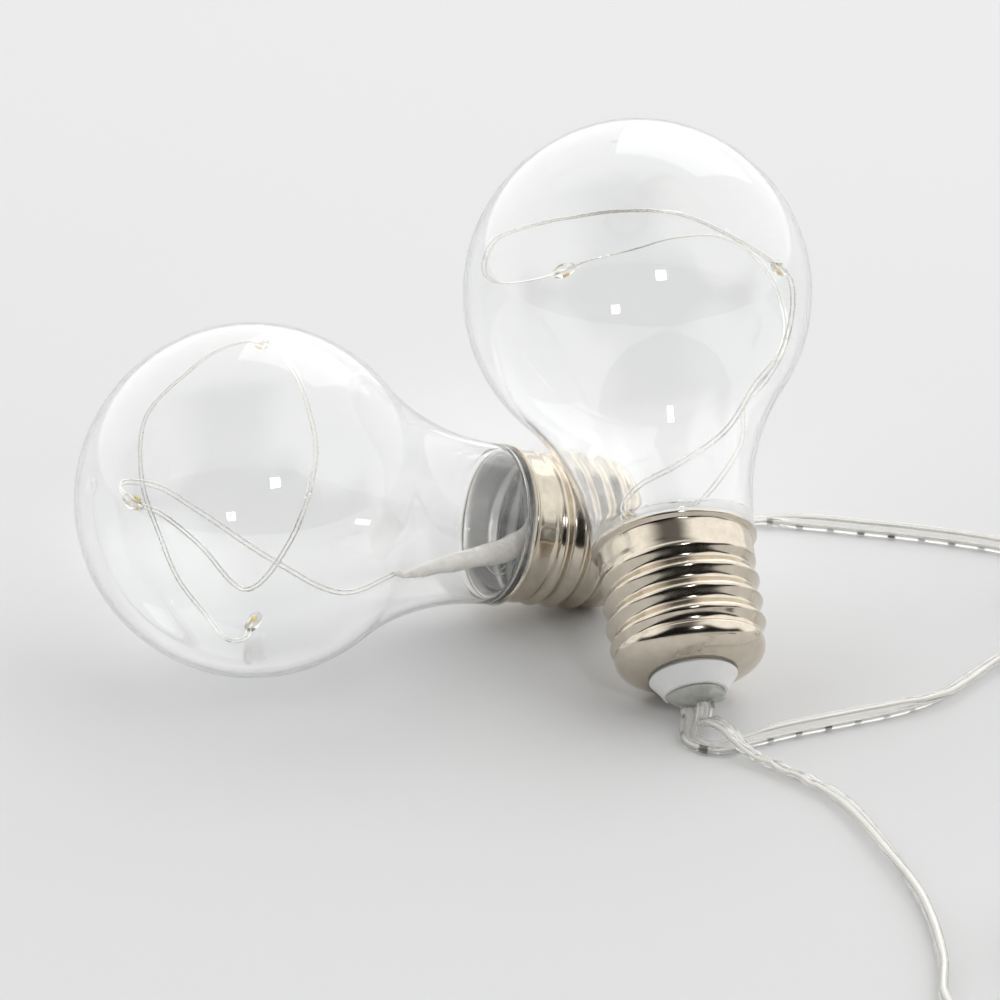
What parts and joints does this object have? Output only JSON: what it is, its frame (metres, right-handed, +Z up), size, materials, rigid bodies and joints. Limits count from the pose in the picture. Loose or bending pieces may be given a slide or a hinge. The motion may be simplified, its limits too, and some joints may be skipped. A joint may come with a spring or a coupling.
{
  "type": "solar fairy lights",
  "caption": "String of clear globe lamps with screw caps, fairy-light wire inside, joined by a clear twin lead, lying on a table.",
  "frame": {"origin": "on the table, midway between the two globes in plan", "axes": "+Z up, +X to the right of the picture along the longest extent of the two lamps, +Y away from the viewer"},
  "size_m": [0.2046, 0.2058, 0.0864],
  "materials": {
    "globe": "clear",
    "nickel": "satin warm nickel plate",
    "insulator": "smooth",
    "sealant": "translucent silicone",
    "glue": "translucent hot glue",
    "wire": "bare silvered wire",
    "chip": "yellow phosphor",
    "drop": "clear resin",
    "lead": "clear insulation over silver strands",
    "tie": "matt white tape",
    "connector": "fine matt",
    "contact": "tinned"
  },
  "bodies": {
    "string": {"lamp_a_screw_cap": "nickel", "lamp_a_insulator": "insulator", "lamp_a_tip_sealant": "sealant", "lamp_a_inner_lead_1": "lead", "lamp_a_glue_tail": "glue", "lamp_b_screw_cap": "nickel", "lamp_b_insulator": "insulator", "lamp_b_tip_sealant": "sealant", "lamp_b_inner_lead_1": "lead", "lamp_b_inner_lead_2": "lead", "lamp_b_glue_tail": "glue", "link_back": "lead", "link_coil": "lead", "link_tie": "tie", "link_front": "lead", "lead_front": "lead", "lead_coil": "lead", "lead_tie": "tie", "lead_tail": "lead", "connector_body": "connector", "connector_boot": "connector", "connector_contact_1": "contact", "connector_contact_2": "contact"},
    "lamp_a_wires": {"lamp_a_wire_1": "wire", "lamp_a_wire_2": "wire", "lamp_a_led_chip_1": "chip", "lamp_a_led_chip_2": "chip", "lamp_a_led_chip_3": "chip", "lamp_a_led_drop_1": "drop", "lamp_a_led_drop_2": "drop", "lamp_a_led_drop_3": "drop"},
    "lamp_a_globe": {"lamp_a_globe": "globe"},
    "lamp_b_wires": {"lamp_b_wire_1": "wire", "lamp_b_wire_2": "wire", "lamp_b_led_chip_1": "chip", "lamp_b_led_chip_2": "chip", "lamp_b_led_chip_3": "chip", "lamp_b_led_drop_1": "drop", "lamp_b_led_drop_2": "drop", "lamp_b_led_drop_3": "drop"},
    "lamp_b_globe": {"lamp_b_globe": "globe"}
  },
  "joints": [
    {"name": "lamp_a_draw", "type": "slide", "parent": "string", "child": "lamp_a_wires", "axis": [-0.8713, -0.4156, 0.2611], "range_m": [0, 0.00771]},
    {"name": "lamp_a_screw", "type": "hinge", "parent": "lamp_a_wires", "child": "lamp_a_globe", "pos_m": [0.00874, 0.00481, 0.0176], "axis": [-0.8713, -0.4156, 0.2611], "range_deg": [0, 720]},
    {"name": "lamp_b_draw", "type": "slide", "parent": "string", "child": "lamp_b_wires", "axis": [-0.1209, 0.715, 0.6885], "range_m": [0, 0.00771]},
    {"name": "lamp_b_screw", "type": "hinge", "parent": "lamp_b_wires", "child": "lamp_b_globe", "pos_m": [0.03839, -0.01903, 0.02375], "axis": [-0.1209, 0.715, 0.6885], "range_deg": [0, 720]}
  ],
  "couplings": [
    {"joint": "lamp_a_draw", "follows": "lamp_a_screw", "m_per_rad": 0.00061275},
    {"joint": "lamp_b_draw", "follows": "lamp_b_screw", "m_per_rad": 0.00061275}
  ]
}
